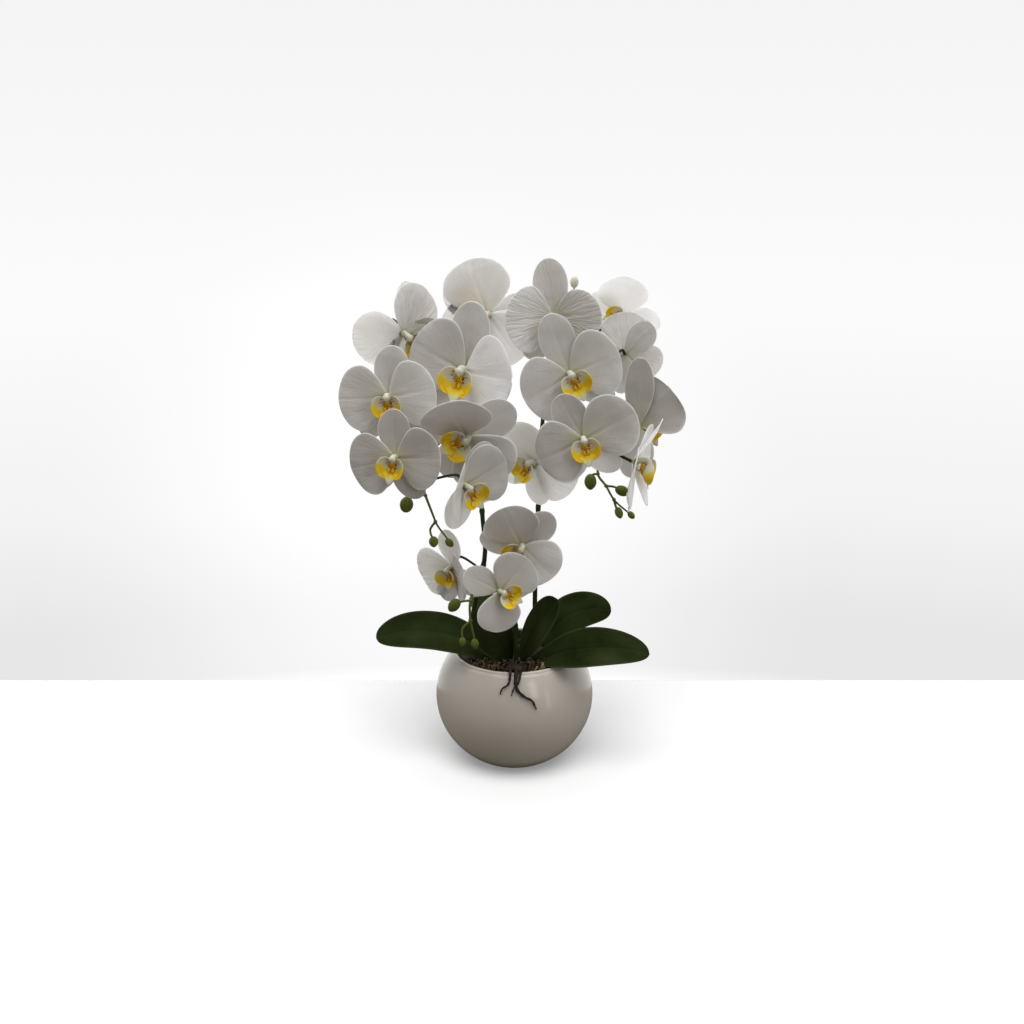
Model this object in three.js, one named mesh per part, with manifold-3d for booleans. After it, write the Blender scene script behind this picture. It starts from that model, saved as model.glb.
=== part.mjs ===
// Potted moth orchid: a round glazed bowl with bark, leaves, two arching
// flower spikes, a short stem, bud sprays and eighteen open flowers.
// Units are millimetres, +Z is up and the flowers face -Y.
// The origin is the middle of the flat foot of the pot.
import * as THREE from "three";
import Module from "manifold-3d";
import { mergeVertices } from "three/addons/utils/BufferGeometryUtils.js";

const wasm = await Module();
wasm.setup();

// ---- Driving dimensions ----------------------------------------------------
const POT_RADIUS = 80;
const POT_BULGE = 0.945;             // height of the bowl's curve over its radius
const FOOT_DROP = 0.87;              // foot plane below the widest ring, over radius
const RIM_RISE = 0.59;               // rim plane above the widest ring, over radius
const WALL = 5;
const GAP = 0.4;                     // clearance left between neighbouring pieces

const POT_BELT = POT_RADIUS * FOOT_DROP;
const POT_HEIGHT = POT_RADIUS * (FOOT_DROP + RIM_RISE);
const FILL_LEVEL = POT_HEIGHT - 9;

const PETAL = { length: 49, half: 33, start: 1.2, raise: 1.7, swell: 0.52, neck: 0.1, round: 0.85 };
const SEPAL = { length: 50, half: 17.5, start: 1.2, raise: -1.5, swell: 0.55, neck: 0.14, round: 0.9 };
const LOWER = { length: 48, half: 16.5, start: 1.2, raise: -1.5, swell: 0.5, neck: 0.14, round: 0.9 };
const TEPAL_THICK = 1.5;
const CUP = 0.1;                     // how far the sides of a petal lift

const SPIKE_RADIUS = 2.6;
const PEDICEL_RADIUS = 1.4;
const TWIG_RADIUS = 1.3;

// ---- Flowers ---------------------------------------------------------------
// at: middle of the flower; turn: facing to the right; nod: facing up;
// roll: clockwise; size: 1 is a bloom about 105 mm across.
// bend: own [angle, lift, curl, stretch, widen] of a petal where it isn't the usual.
const USUAL = {
  top: [0, -4, 6],
  left: [-78, 8, -10],
  right: [78, 8, -10],
  lowleft: [-142, -6, 4],
  lowright: [142, -6, 4],
};

const FLOWERS = [
  { name: "a01", at: [-107, 10, 438], turn: 40, nod: -22, roll: -44, size: 0.98,
    bend: { left: [-66, -24, -6], right: [74, -16, -6], top: [68, -30, -6] } },
  { name: "a02", at: [-26, 40, 452], turn: -22, nod: 0, roll: 75, size: 1.1,
    bend: { left: [-92, 12, -10], right: [67, 5, -6], top: [17, -55, -10],
      lowright: [180, -6, 4] } },
  { name: "a03", at: [-47, -20, 406], turn: -18, nod: 4, roll: 12, size: 1.14,
    bend: { left: [-76, 4, -6], right: [82, 26, -6], top: [-6, -4, 6, 1.12] } },
  { name: "a04", at: [-117, -45, 386], turn: -5, nod: 2, roll: -4, size: 0.93,
    bend: { left: [-88, 8, -10], right: [82, 14, -10], top: [10, -4, 6] } },
  { name: "a05", at: [-109, -75, 335], turn: -12, nod: 2, roll: 8, size: 0.88,
    bend: { left: [-112, 6, -10], right: [78, 10, -10], top: [-12, -4, 6] } },
  { name: "a06", at: [-44, -50, 350], turn: -10, nod: -10, roll: 68, size: 1.05,
    bend: { left: [-82, 34, -4], right: [78, 5, -6], top: [-12, -4, 6] } },
  { name: "a07", at: [-47, -85, 312], turn: 35, nod: -8, roll: -34, size: 0.92,
    bend: { left: [-56, 52, -10], right: [98, 10, -6], top: [80, -10, 4] } },
  { name: "a08", at: [20, 8, 309], turn: -36, nod: 8, roll: 32, size: 0.92,
    bend: { left: [-70, 30, -10], right: [62, 0, -6, 1.1], lowright: [136, -6, 4, 0.9] } },
  { name: "a09", at: [-61, -20, 211], turn: -34, nod: -10, roll: -4, size: 0.78,
    bend: { left: [-100, 14, -10], right: [96, 36, 0], lowleft: [-160, 10, 0] } },
  { name: "a10", at: [7, -45, 242], turn: -10, nod: -10, roll: 56, size: 0.86,
    bend: { top: [-14, -4, 6], right: [76, 14, -6] } },
  { name: "a11", at: [-14, -75, 206], turn: 26, nod: 4, roll: -58, size: 0.8,
    bend: { left: [-114, 4, -10, 1, 0.86], right: [100, 12, -6], top: [0, -4, 6] } },
  { name: "b01", at: [37, 4, 453], turn: 0, nod: 0, roll: -6, size: 0.95,
    bend: { left: [-84, 24, -10], right: [88, 26, -10, 1, 0.8], top: [0, 0, 0, 1.15] } },
  { name: "b02", at: [52, -20, 403], turn: 8, nod: 0, roll: -26, size: 1,
    bend: { left: [-92, 14, -10], right: [92, 10, -10], top: [6, -4, 6, 1.18] } },
  { name: "b03", at: [64, -55, 348], turn: 0, nod: 0, roll: -12, size: 0.92,
    bend: { left: [-102, 14, -10], right: [72, 10, -10, 1.18], top: [-18, -4, 6] } },
  { name: "b04", at: [108, 72, 447], turn: -10, nod: 0, roll: 80, size: 0.76,
    bend: { top: [25, -4, 6] } },
  { name: "b05", at: [109, 34, 414], turn: 155, nod: 0, roll: -43, size: 0.8,
    bend: { left: [-88, 40, -6, 1, 0.85], right: [58, 12, -6] } },
  { name: "b06", at: [120, 10, 347], turn: 150, nod: 0, roll: 33, size: 1.04,
    bend: { left: [-72, 4, -6], top: [-36, -4, 6, 1.28, 0.85],
      lowleft: [-200, -20, 0], lowright: [150, -20, 0] } },
  { name: "b07", at: [112, -57, 327], turn: 80, nod: -6, roll: 0, size: 0.96,
    bend: { top: [0, 28, 0], lowleft: [-165, 4, 0], lowright: [165, 24, 0],
      left: [-110, 0, 0], right: [90, 12, 0] } },
];

// ---- Leaves ----------------------------------------------------------------
// root, elbow and tip of the midrib; half: half the width; lean: roll about it.
const LEAVES = [
  { name: "leaf_left", root: [-16, -14, 114], elbow: [-76, -20, 158], tip: [-137, -26, 139],
    half: 29, lean: -22 },
  { name: "leaf_front_left", root: [-6, -30, 114], elbow: [-16, -32, 148], tip: [-44, -30, 164],
    half: 22, lean: -50 },
  { name: "leaf_upright", root: [6, -18, 114], elbow: [20, -26, 148], tip: [42, -30, 181],
    half: 23, lean: 40 },
  { name: "leaf_right_back", root: [28, 12, 118], elbow: [56, 14, 164], tip: [98, 12, 153],
    half: 27, lean: 26 },
  { name: "leaf_right_front", root: [18, -28, 114], elbow: [72, -40, 143], tip: [132, -46, 130],
    half: 29, lean: 20 },
  { name: "leaf_back", root: [-8, 26, 114], elbow: [-22, 60, 150], tip: [-34, 108, 136],
    half: 24, lean: 0 },
];

// ---- Stems and sprays ------------------------------------------------------
const SPIKE_LEFT = [
  [-38, 4, 100], [-42, 6, 150], [-30, 10, 212], [-32, 16, 252], [-38, 28, 320],
  [-48, 42, 390], [-62, 46, 418], [-76, 40, 404], [-86, 18, 370], [-90, -14, 330],
  [-88, -40, 303],
];
const SPIKE_RIGHT = [
  [22, 22, 100], [21, 20, 170], [24, 24, 264], [27, 32, 336],
  [36, 44, 400], [54, 46, 436], [78, 36, 424], [94, 16, 392], [96, 0, 356],
  [100, -15, 331],
];
const STEM_SHORT = [[0, -32, 100], [2, -32, 130], [1, -30, 158], [-2, -25, 184]];

// ---- Small helpers ---------------------------------------------------------
const rad = (degrees) => degrees * Math.PI / 180;
const vec = (list) => new THREE.Vector3(...list);

function solidFrom(geometry) {
  const bare = geometry.clone();
  bare.deleteAttribute("normal");
  bare.deleteAttribute("uv");
  const welded = mergeVertices(bare, 1e-4);
  const mesh = new wasm.Mesh({
    numProp: 3,
    vertProperties: new Float32Array(welded.attributes.position.array),
    triVerts: new Uint32Array(welded.index.array),
  });
  return new wasm.Manifold(mesh);
}

function geometryFrom(solid) {
  const mesh = solid.getMesh();
  const shape = new THREE.BufferGeometry();
  shape.setAttribute("position", new THREE.BufferAttribute(new Float32Array(mesh.vertProperties), 3));
  shape.setIndex(new THREE.BufferAttribute(new Uint32Array(mesh.triVerts), 1));
  return shape;
}

function joined(solids) {
  return solids.reduce((sum, next) => sum.add(next));
}

function biggest(solid) {
  const pieces = solid.decompose();
  return pieces.reduce((best, piece) => (piece.volume() > best.volume() ? piece : best));
}

function ball(radii, at, around = 8, down = 5, turn = [0, 0, 0]) {
  const shape = new THREE.SphereGeometry(1, around, down);
  shape.scale(...radii);
  shape.rotateX(rad(turn[0]));
  shape.rotateY(rad(turn[1]));
  shape.rotateZ(rad(turn[2]));
  shape.translate(...at);
  return solidFrom(shape);
}

function rod(points, radius, steps, sides = 6, taper = 1) {
  const curve = new THREE.CatmullRomCurve3(points.map(vec), false, "centripetal");
  const corners = [];
  for (let i = 0; i < sides; i += 1) {
    const angle = i / sides * 2 * Math.PI;
    corners.push(new THREE.Vector2(radius * Math.cos(angle), radius * Math.sin(angle)));
  }
  const shape = new THREE.ExtrudeGeometry(new THREE.Shape(corners), {
    steps, bevelEnabled: false, extrudePath: curve, curveSegments: 1,
  });
  if (taper !== 1) narrow(shape, curve, taper);
  return solidFrom(shape);
}

// Pull the far end of a rod in towards its middle line.
function narrow(shape, curve, taper) {
  const spots = curve.getSpacedPoints(60);
  const place = shape.attributes.position;
  const corner = new THREE.Vector3();
  for (let i = 0; i < place.count; i += 1) {
    corner.fromBufferAttribute(place, i);
    let near = 0;
    spots.forEach((spot, k) => {
      if (spot.distanceToSquared(corner) < spots[near].distanceToSquared(corner)) near = k;
    });
    const keep = 1 + (taper - 1) * near / 60;
    corner.sub(spots[near]).multiplyScalar(keep).add(spots[near]);
    place.setXYZ(i, corner.x, corner.y, corner.z);
  }
}

// A closed sheet: one face on each side, meeting in a sharp edge all round.
// point(s, t, side) gives the surface for s 0..1 root to tip and t -1..1 across.
function sheet(rows, columns, point) {
  const spots = [];
  const ids = {};
  const id = (i, j, side) => {
    const edge = i === 0 || i === rows.length - 1 || j === 0 || j === columns.length - 1;
    const key = `${i}/${i === rows.length - 1 ? 0 : j}/${edge ? 0 : side}`;
    if (!(key in ids)) {
      ids[key] = spots.length;
      spots.push(point(rows[i], columns[j], edge ? 0 : side));
    }
    return ids[key];
  };
  const faces = [];
  const put = (a, b, c) => {
    if (a !== b && b !== c && a !== c) faces.push(a, b, c);
  };
  for (let i = 0; i + 1 < rows.length; i += 1) {
    for (let j = 0; j + 1 < columns.length; j += 1) {
      for (const side of [1, -1]) {
        const a = id(i, j, side);
        const b = id(i, j + 1, side);
        const c = id(i + 1, j + 1, side);
        const d = id(i + 1, j, side);
        if (side > 0) {
          put(a, b, c);
          put(a, c, d);
        } else {
          put(c, b, a);
          put(d, c, a);
        }
      }
    }
  }
  const shape = new THREE.BufferGeometry();
  shape.setAttribute("position", new THREE.Float32BufferAttribute(spots.flat(), 3));
  shape.setIndex(faces);
  return solidFrom(shape);
}

// ---- Flower pieces, in the flower's own frame (z out, y to the top sepal) ---
function widthAt(form, s) {
  if (s < form.swell) {
    const rise = Math.sin(Math.PI / 2 * s / form.swell) ** form.round;
    return form.half * (form.neck + (1 - form.neck) * rise);
  }
  const fall = (s - form.swell) / (1 - form.swell);
  return form.half * Math.sqrt(Math.max(0, 1 - fall * fall));
}

function tepal(form, [angle, lift, curl, stretch = 1, widen = 1], thick) {
  const spin = rad(angle);
  const rise = rad(lift);
  const bow = rad(curl || 0.01);
  const point = (s, t, side) => {
    const slope = rise + bow * s;
    const wide = widthAt(form, s) * widen * t;
    const length = form.length * stretch;
    let along = form.start + length * (Math.sin(slope) - Math.sin(rise)) / bow;
    let out = form.raise + length * (Math.cos(rise) - Math.cos(slope)) / bow;
    const lifted = CUP * wide * wide / form.half + side * thick / 2;
    along -= lifted * Math.sin(slope);
    out += lifted * Math.cos(slope);
    return [
      along * Math.sin(spin) + wide * Math.cos(spin),
      along * Math.cos(spin) - wide * Math.sin(spin),
      out,
    ];
  };
  const broad = form.half > 25;
  const rows = [0, 0.3, 0.6, 0.86, 1];
  const columns = broad ? [-1, -0.55, 0, 0.55, 1] : [-1, 0, 1];
  return sheet(rows, columns, point);
}

function perianth(flower, thick) {
  const bend = { ...USUAL, ...flower.bend };
  return joined([
    tepal(SEPAL, bend.top, thick),
    tepal(PETAL, bend.left, thick),
    tepal(PETAL, bend.right, thick),
    tepal(LOWER, bend.lowleft, thick),
    tepal(LOWER, bend.lowright, thick),
    ball([4.4, 4.4, 3.6], [0, 0, 0], 5, 4),
  ]);
}

// One round side lobe of the lip, a thin disc leaning in over the throat.
function lobe(hand) {
  const disc = new THREE.CylinderGeometry(0.75, 1, 2, 9);
  disc.rotateX(Math.PI / 2);
  disc.scale(9.5, 11, 0.9);
  disc.rotateY(rad(-34 * hand));
  disc.translate(8.5 * hand, -8, 13.5);
  return solidFrom(disc);
}

// Lip with two upswept side lobes, a forked middle lobe and the column above.
function lip() {
  const middle = { length: 19, half: 7, start: 8, raise: 5, swell: 0.45, neck: 0.6, round: 1 };
  return joined([
    ball([3.4, 4.2, 5.6], [0, 2.5, 8.8], 5, 3),
    ball([4.6, 6.5, 3.4], [0, -5, 9], 5, 3),
    lobe(-1),
    lobe(1),
    tepal(middle, [180, 34, -20], 2.4),
  ]);
}

function facing(flower) {
  const turn = rad(flower.turn);
  const nod = rad(flower.nod);
  const roll = rad(flower.roll);
  const out = vec([Math.sin(turn) * Math.cos(nod), -Math.cos(turn) * Math.cos(nod), Math.sin(nod)]);
  const lean = vec([-Math.sin(turn) * Math.sin(nod), Math.cos(turn) * Math.sin(nod), Math.cos(nod)]);
  const side = new THREE.Vector3().crossVectors(lean, out);
  const up = lean.clone().multiplyScalar(Math.cos(roll)).addScaledVector(side, Math.sin(roll));
  const right = side.clone().multiplyScalar(Math.cos(roll)).addScaledVector(lean, -Math.sin(roll));
  return { right, up, out };
}

function placed(solid, flower) {
  const { right, up, out } = facing(flower);
  const k = flower.size;
  const [x, y, z] = flower.at;
  return solid.transform([
    right.x * k, right.y * k, right.z * k, 0,
    up.x * k, up.y * k, up.z * k, 0,
    out.x * k, out.y * k, out.z * k, 0,
    x, y, z, 1,
  ]);
}

// ---- Pot and filling -------------------------------------------------------
function bowlRadius(height) {
  const level = (height - POT_BELT) / (POT_RADIUS * POT_BULGE);
  return POT_RADIUS * Math.sqrt(Math.max(0, 1 - level * level));
}

function lathe(profile, around) {
  const corners = profile.map(([radius, height]) => new THREE.Vector2(radius, height));
  const shape = new THREE.LatheGeometry(corners, around);
  shape.rotateX(Math.PI / 2);
  return solidFrom(shape);
}

function pot() {
  const profile = [[0, 0], [bowlRadius(0) - 2, 0]];
  for (const part of [0.03, 0.11, 0.24, 0.4, 0.57, 0.74, 0.88, 0.97]) {
    profile.push([bowlRadius(part * POT_HEIGHT), part * POT_HEIGHT]);
  }
  const brim = bowlRadius(POT_HEIGHT);
  profile.push([brim - 1.5, POT_HEIGHT], [brim - WALL + 1, POT_HEIGHT]);
  for (const part of [0.95, 0.75, 0.45, 0.13]) {
    profile.push([bowlRadius(part * POT_HEIGHT) - WALL, part * POT_HEIGHT]);
  }
  profile.push([0, 0.1 * POT_HEIGHT]);
  return lathe(profile, 28);
}

// Bark bed with a few chips lying half sunk in its domed top.
function bark() {
  const low = 0.12 * POT_HEIGHT + GAP + 1;
  const profile = [[0, low], [bowlRadius(low) - WALL - 2, low]];
  for (const part of [0.45, 0.75]) {
    profile.push([bowlRadius(part * POT_HEIGHT) - WALL - 3, part * POT_HEIGHT]);
  }
  profile.push([bowlRadius(FILL_LEVEL) - WALL - 1.6, FILL_LEVEL - 2], [38, FILL_LEVEL + 1]);
  profile.push([0, FILL_LEVEL + 2]);
  let bed = lathe(profile, 20);
  for (let i = 0; i < 9; i += 1) {
    const angle = i * 2.4 + 4;
    const reach = 22 + 26 * ((i * 0.37) % 1);
    const at = [reach * Math.cos(angle), reach * Math.sin(angle), FILL_LEVEL + 1.5];
    bed = bed.add(ball([8, 4, 2.4], at, 5, 3, [20, 15 - 3 * i, 50 * i]));
  }
  for (const stem of [SPIKE_LEFT, SPIKE_RIGHT, STEM_SHORT]) {
    bed = bed.subtract(rod(stem.slice(0, 3), SPIKE_RADIUS + 2 * GAP, 3, 7));
  }
  return bed;
}

// Dark air roots: a knot on the brim with strands hanging down the bowl.
function airRoots() {
  const hug = (across, height, clear) => {
    const radius = bowlRadius(height) + clear;
    return [across, -Math.sqrt(radius * radius - across * across), height];
  };
  const brim = bowlRadius(POT_HEIGHT);
  const over = (across, inward, rise) => [across, -brim + inward, POT_HEIGHT + rise];
  const start = [[-4, 22, -1], [2, 22, -1], [6, 20, -1]];
  const strand = (lead, points, radius) => rod([
    over(...start[lead]), over(start[lead][0], 8, 3.2), over(start[lead][0], 1, 3.4), ...points,
  ], radius, 9, 5, 0.6);
  return joined([
    strand(0, [hug(-5, 112, 3.2), hug(-8, 107, 3), hug(-14, 101, 2.8)], 1.6),
    strand(1, [hug(1, 111, 3.2), hug(4, 103, 3), hug(14, 97, 2.8), hug(21, 87, 2.6)], 1.9),
    strand(2, [hug(4, 111, 3.2), hug(-2, 103, 2.9)], 1.5),
    ball([7.5, 3.2, 2.4], [1, -brim + 3, POT_HEIGHT + 4.4], 8, 5),
  ]);
}

// ---- Leaves ----------------------------------------------------------------
function leaf({ root, elbow, tip, half, lean }) {
  const rib = new THREE.QuadraticBezierCurve3(vec(root), vec(elbow), vec(tip));
  const up = new THREE.Vector3(0, 0, 1);
  const point = (s, t, side) => {
    const spot = rib.getPoint(s);
    const ahead = rib.getTangent(s);
    const across = new THREE.Vector3().crossVectors(ahead, up).normalize();
    const above = new THREE.Vector3().crossVectors(across, ahead).normalize();
    across.applyAxisAngle(ahead, rad(lean));
    above.applyAxisAngle(ahead, rad(lean));
    const neck = 0.3 + 0.7 * Math.sin(Math.PI / 2 * Math.min(1, s / 0.5));
    const blunt = Math.sqrt(Math.max(0, 1 - Math.max(0, (s - 0.5) / 0.5) ** 2.1));
    const wide = half * neck * blunt * t;
    spot.addScaledVector(across, wide);
    spot.addScaledVector(above, 0.1 * Math.abs(wide) + side * 1.1);
    return spot.toArray();
  };
  return sheet([0, 0.16, 0.34, 0.52, 0.7, 0.87, 1], [-1, -0.5, 0, 0.5, 1], point);
}

// ---- Stems -----------------------------------------------------------------
function pedicel(from, flower) {
  const { out } = facing(flower);
  const back = vec(flower.at).addScaledVector(out, -(3.6 * flower.size + GAP));
  const bowed = vec(flower.at).addScaledVector(out, -14).add(vec([0, 3, 4]));
  return rod([from, bowed.toArray(), back.toArray()], PEDICEL_RADIUS, 4, 4);
}

function spike(points, radius, names, steps) {
  const curve = new THREE.CatmullRomCurve3(points.map(vec), false, "centripetal");
  const spots = curve.getSpacedPoints(60);
  const parts = [rod(points, radius, steps, 7, 0.6)];
  for (const name of names) {
    const flower = FLOWERS.find((each) => each.name === name);
    const { out } = facing(flower);
    const target = vec(flower.at).addScaledVector(out, -14);
    target.z -= 10;
    const from = spots.reduce((best, spot) => (
      spot.distanceTo(target) < best.distanceTo(target) ? spot : best
    ));
    parts.push(pedicel(from.toArray(), flower));
  }
  let whole = joined(parts);
  for (const name of names) {
    const flower = FLOWERS.find((each) => each.name === name);
    whole = whole.subtract(placed(perianth(flower, TEPAL_THICK + 2 * GAP), flower));
  }
  return biggest(whole);
}

// A thin twig with side shoots, each ending in a closed bud.
function spray(main, shoots, buds) {
  const parts = [rod(main, TWIG_RADIUS, 12, 5, 0.7)];
  for (const shoot of shoots) parts.push(rod(shoot, TWIG_RADIUS * 0.8, 5, 5));
  for (const [at, long, wide, tilt] of buds) {
    parts.push(ball([wide, wide, long], at, 8, 6, [0, tilt, 0]));
  }
  return joined(parts);
}

function sprayLeft() {
  return spray(
    [[-87, -43, 299], [-84, -50, 292], [-77, -54, 274], [-73, -54, 264], [-63, -54, 250]],
    [[[-84, -50, 293], [-94, -52, 293], [-101, -54, 288]],
      [[-75, -54, 268], [-80, -54, 260], [-78, -54, 251]]],
    [[[-102, -54, 285], 8, 6.6, 10], [[-77, -54, 248], 5.5, 4.6, 0], [[-62, -54, 247], 5, 3.6, -40]],
  );
}

function sprayRight() {
  return spray(
    [[98, -19, 328], [83, -22, 323], [80, -24, 307], [88, -24, 295], [97, -24, 280], [112, -25, 267]],
    [[[80, -24, 307], [75, -24, 306], [73, -24, 300]],
      [[88, -24, 295], [96, -24, 294], [103, -24, 290]],
      [[96, -24, 281], [98, -24, 274], [101, -24, 268]]],
    [[[73, -24, 299], 8, 6, 0], [[104, -24, 290], 7.5, 5.2, 60], [[101, -24, 268], 6, 4, -20],
      [[113, -25, 266], 4.5, 3.2, -40]],
  );
}

function sprayLow() {
  return spray(
    [[-41, -54, 195], [-43, -60, 185], [-42, -64, 170], [-38, -66, 152]],
    [[[-42, -57, 190], [-50, -60, 190], [-57, -60, 187]],
      [[-42, -64, 172], [-50, -65, 164], [-50, -66, 153]]],
    [[[-58, -60, 186], 7.5, 5.6, 40], [[-38, -66, 149], 5, 3.8, -20], [[-50, -66, 151], 4.5, 3.4, 0]],
  );
}

// A pale half-grown bud standing up behind the right-hand cluster.
function topBud() {
  return joined([
    rod([[57, 38, 442], [57, 30, 462], [57, 22, 480]], TWIG_RADIUS, 4, 4),
    ball([4.4, 4.4, 6.4], [57, 21, 485], 7, 5),
  ]);
}

// ---- The whole part --------------------------------------------------------
const LOOKS = {
  glaze: { color: 0xd6d2cc, roughness: 0.25 },
  bark: { color: 0x4a3626, roughness: 0.9 },
  root: { color: 0x2c201b, roughness: 0.8 },
  leaf: { color: 0x24351c, roughness: 0.45 },
  stem: { color: 0x2f3d1c, roughness: 0.55 },
  bud: { color: 0x55702a, roughness: 0.55 },
  petal: { color: 0xefedea, roughness: 0.6 },
  lip: { color: 0xe6c64a, roughness: 0.55 },
};

const group = new THREE.Group();
group.name = "potted_orchid";

function add(name, look, solid) {
  const mesh = new THREE.Mesh(geometryFrom(solid), new THREE.MeshStandardMaterial(LOOKS[look]));
  mesh.geometry.computeVertexNormals();
  mesh.name = name;
  group.add(mesh);
}

add("pot", "glaze", pot());
add("potting_bark", "bark", bark());
add("air_roots", "root", airRoots());
for (const each of LEAVES) add(each.name, "leaf", leaf(each));
add("spike_left", "stem", spike(SPIKE_LEFT, SPIKE_RADIUS,
  ["a01", "a02", "a03", "a04", "a05", "a06", "a07", "a09"], 26));
add("spike_right", "stem", spike(SPIKE_RIGHT, SPIKE_RADIUS,
  ["a08", "b01", "b02", "b03", "b04", "b05", "b06", "b07"], 26));
add("stem_short", "stem", spike(STEM_SHORT, SPIKE_RADIUS, ["a11", "a10"], 6));
add("bud_spray_left", "bud", sprayLeft());
add("bud_spray_right", "bud", sprayRight());
add("bud_spray_low", "bud", sprayLow());
add("bud_top", "petal", topBud());
for (const flower of FLOWERS) {
  const petals = biggest(perianth(flower, TEPAL_THICK));
  const clear = perianth(flower, TEPAL_THICK + 3);
  add(`flower_${flower.name}_petals`, "petal", placed(petals, flower));
  add(`flower_${flower.name}_lip`, "lip", placed(biggest(lip().subtract(clear)), flower));
}

export default group;
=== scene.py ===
"""Looks of the potted moth orchid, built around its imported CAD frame. Metres, +Z up, flowers towards -Y."""
import math
import random

import bpy
import numpy as np
from mathutils import Matrix, Vector


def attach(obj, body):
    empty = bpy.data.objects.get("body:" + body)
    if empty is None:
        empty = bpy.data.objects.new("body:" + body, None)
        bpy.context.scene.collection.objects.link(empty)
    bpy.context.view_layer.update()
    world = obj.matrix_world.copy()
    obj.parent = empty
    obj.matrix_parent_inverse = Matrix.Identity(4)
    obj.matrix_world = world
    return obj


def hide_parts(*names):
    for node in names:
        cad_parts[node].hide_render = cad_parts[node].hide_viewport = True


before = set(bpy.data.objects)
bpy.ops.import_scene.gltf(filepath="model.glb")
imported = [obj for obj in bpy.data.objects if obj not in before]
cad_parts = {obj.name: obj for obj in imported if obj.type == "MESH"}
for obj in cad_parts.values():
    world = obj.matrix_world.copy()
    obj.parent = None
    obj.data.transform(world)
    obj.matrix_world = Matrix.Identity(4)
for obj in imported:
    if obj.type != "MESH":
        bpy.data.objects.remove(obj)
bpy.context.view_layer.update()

MM = 0.001

# ---- Driving sizes, in millimetres as in the part ----
POT_RADIUS = 80
POT_BULGE = 0.945
FOOT_DROP = 0.87
RIM_RISE = 0.59
WALL = 5
POT_BELT = POT_RADIUS * FOOT_DROP
POT_HEIGHT = POT_RADIUS * (FOOT_DROP + RIM_RISE)
FILL_LEVEL = POT_HEIGHT - 9
SPIKE_RADIUS = 2.6
PEDICEL_RADIUS = 1.4
TWIG_RADIUS = 1.3

# A petal's form: length, half its width, where it starts, how far it stands
# in front of the flower's plane, where it is widest, how narrow its neck is.
PETAL = {"length": 49, "half": 33, "start": 1.2, "raise": 1.7, "swell": 0.52, "neck": 0.1, "round": 0.85}
SEPAL = {"length": 50, "half": 17.5, "start": 1.2, "raise": -1.5, "swell": 0.55, "neck": 0.14, "round": 0.9}
LOWER = {**SEPAL, "length": 48, "half": 16.5, "swell": 0.5}
FORMS = {"top": SEPAL, "left": PETAL, "right": PETAL, "lowleft": LOWER, "lowright": LOWER}
CUP = 0.1

# (angle, lift, curl) in degrees of each petal, unless the flower has its own;
# two more numbers stretch a petal along its length and across.
USUAL = {
    "top": (0, -4, 6),
    "left": (-78, 8, -10),
    "right": (78, 8, -10),
    "lowleft": (-142, -6, 4),
    "lowright": (142, -6, 4),
}

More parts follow.
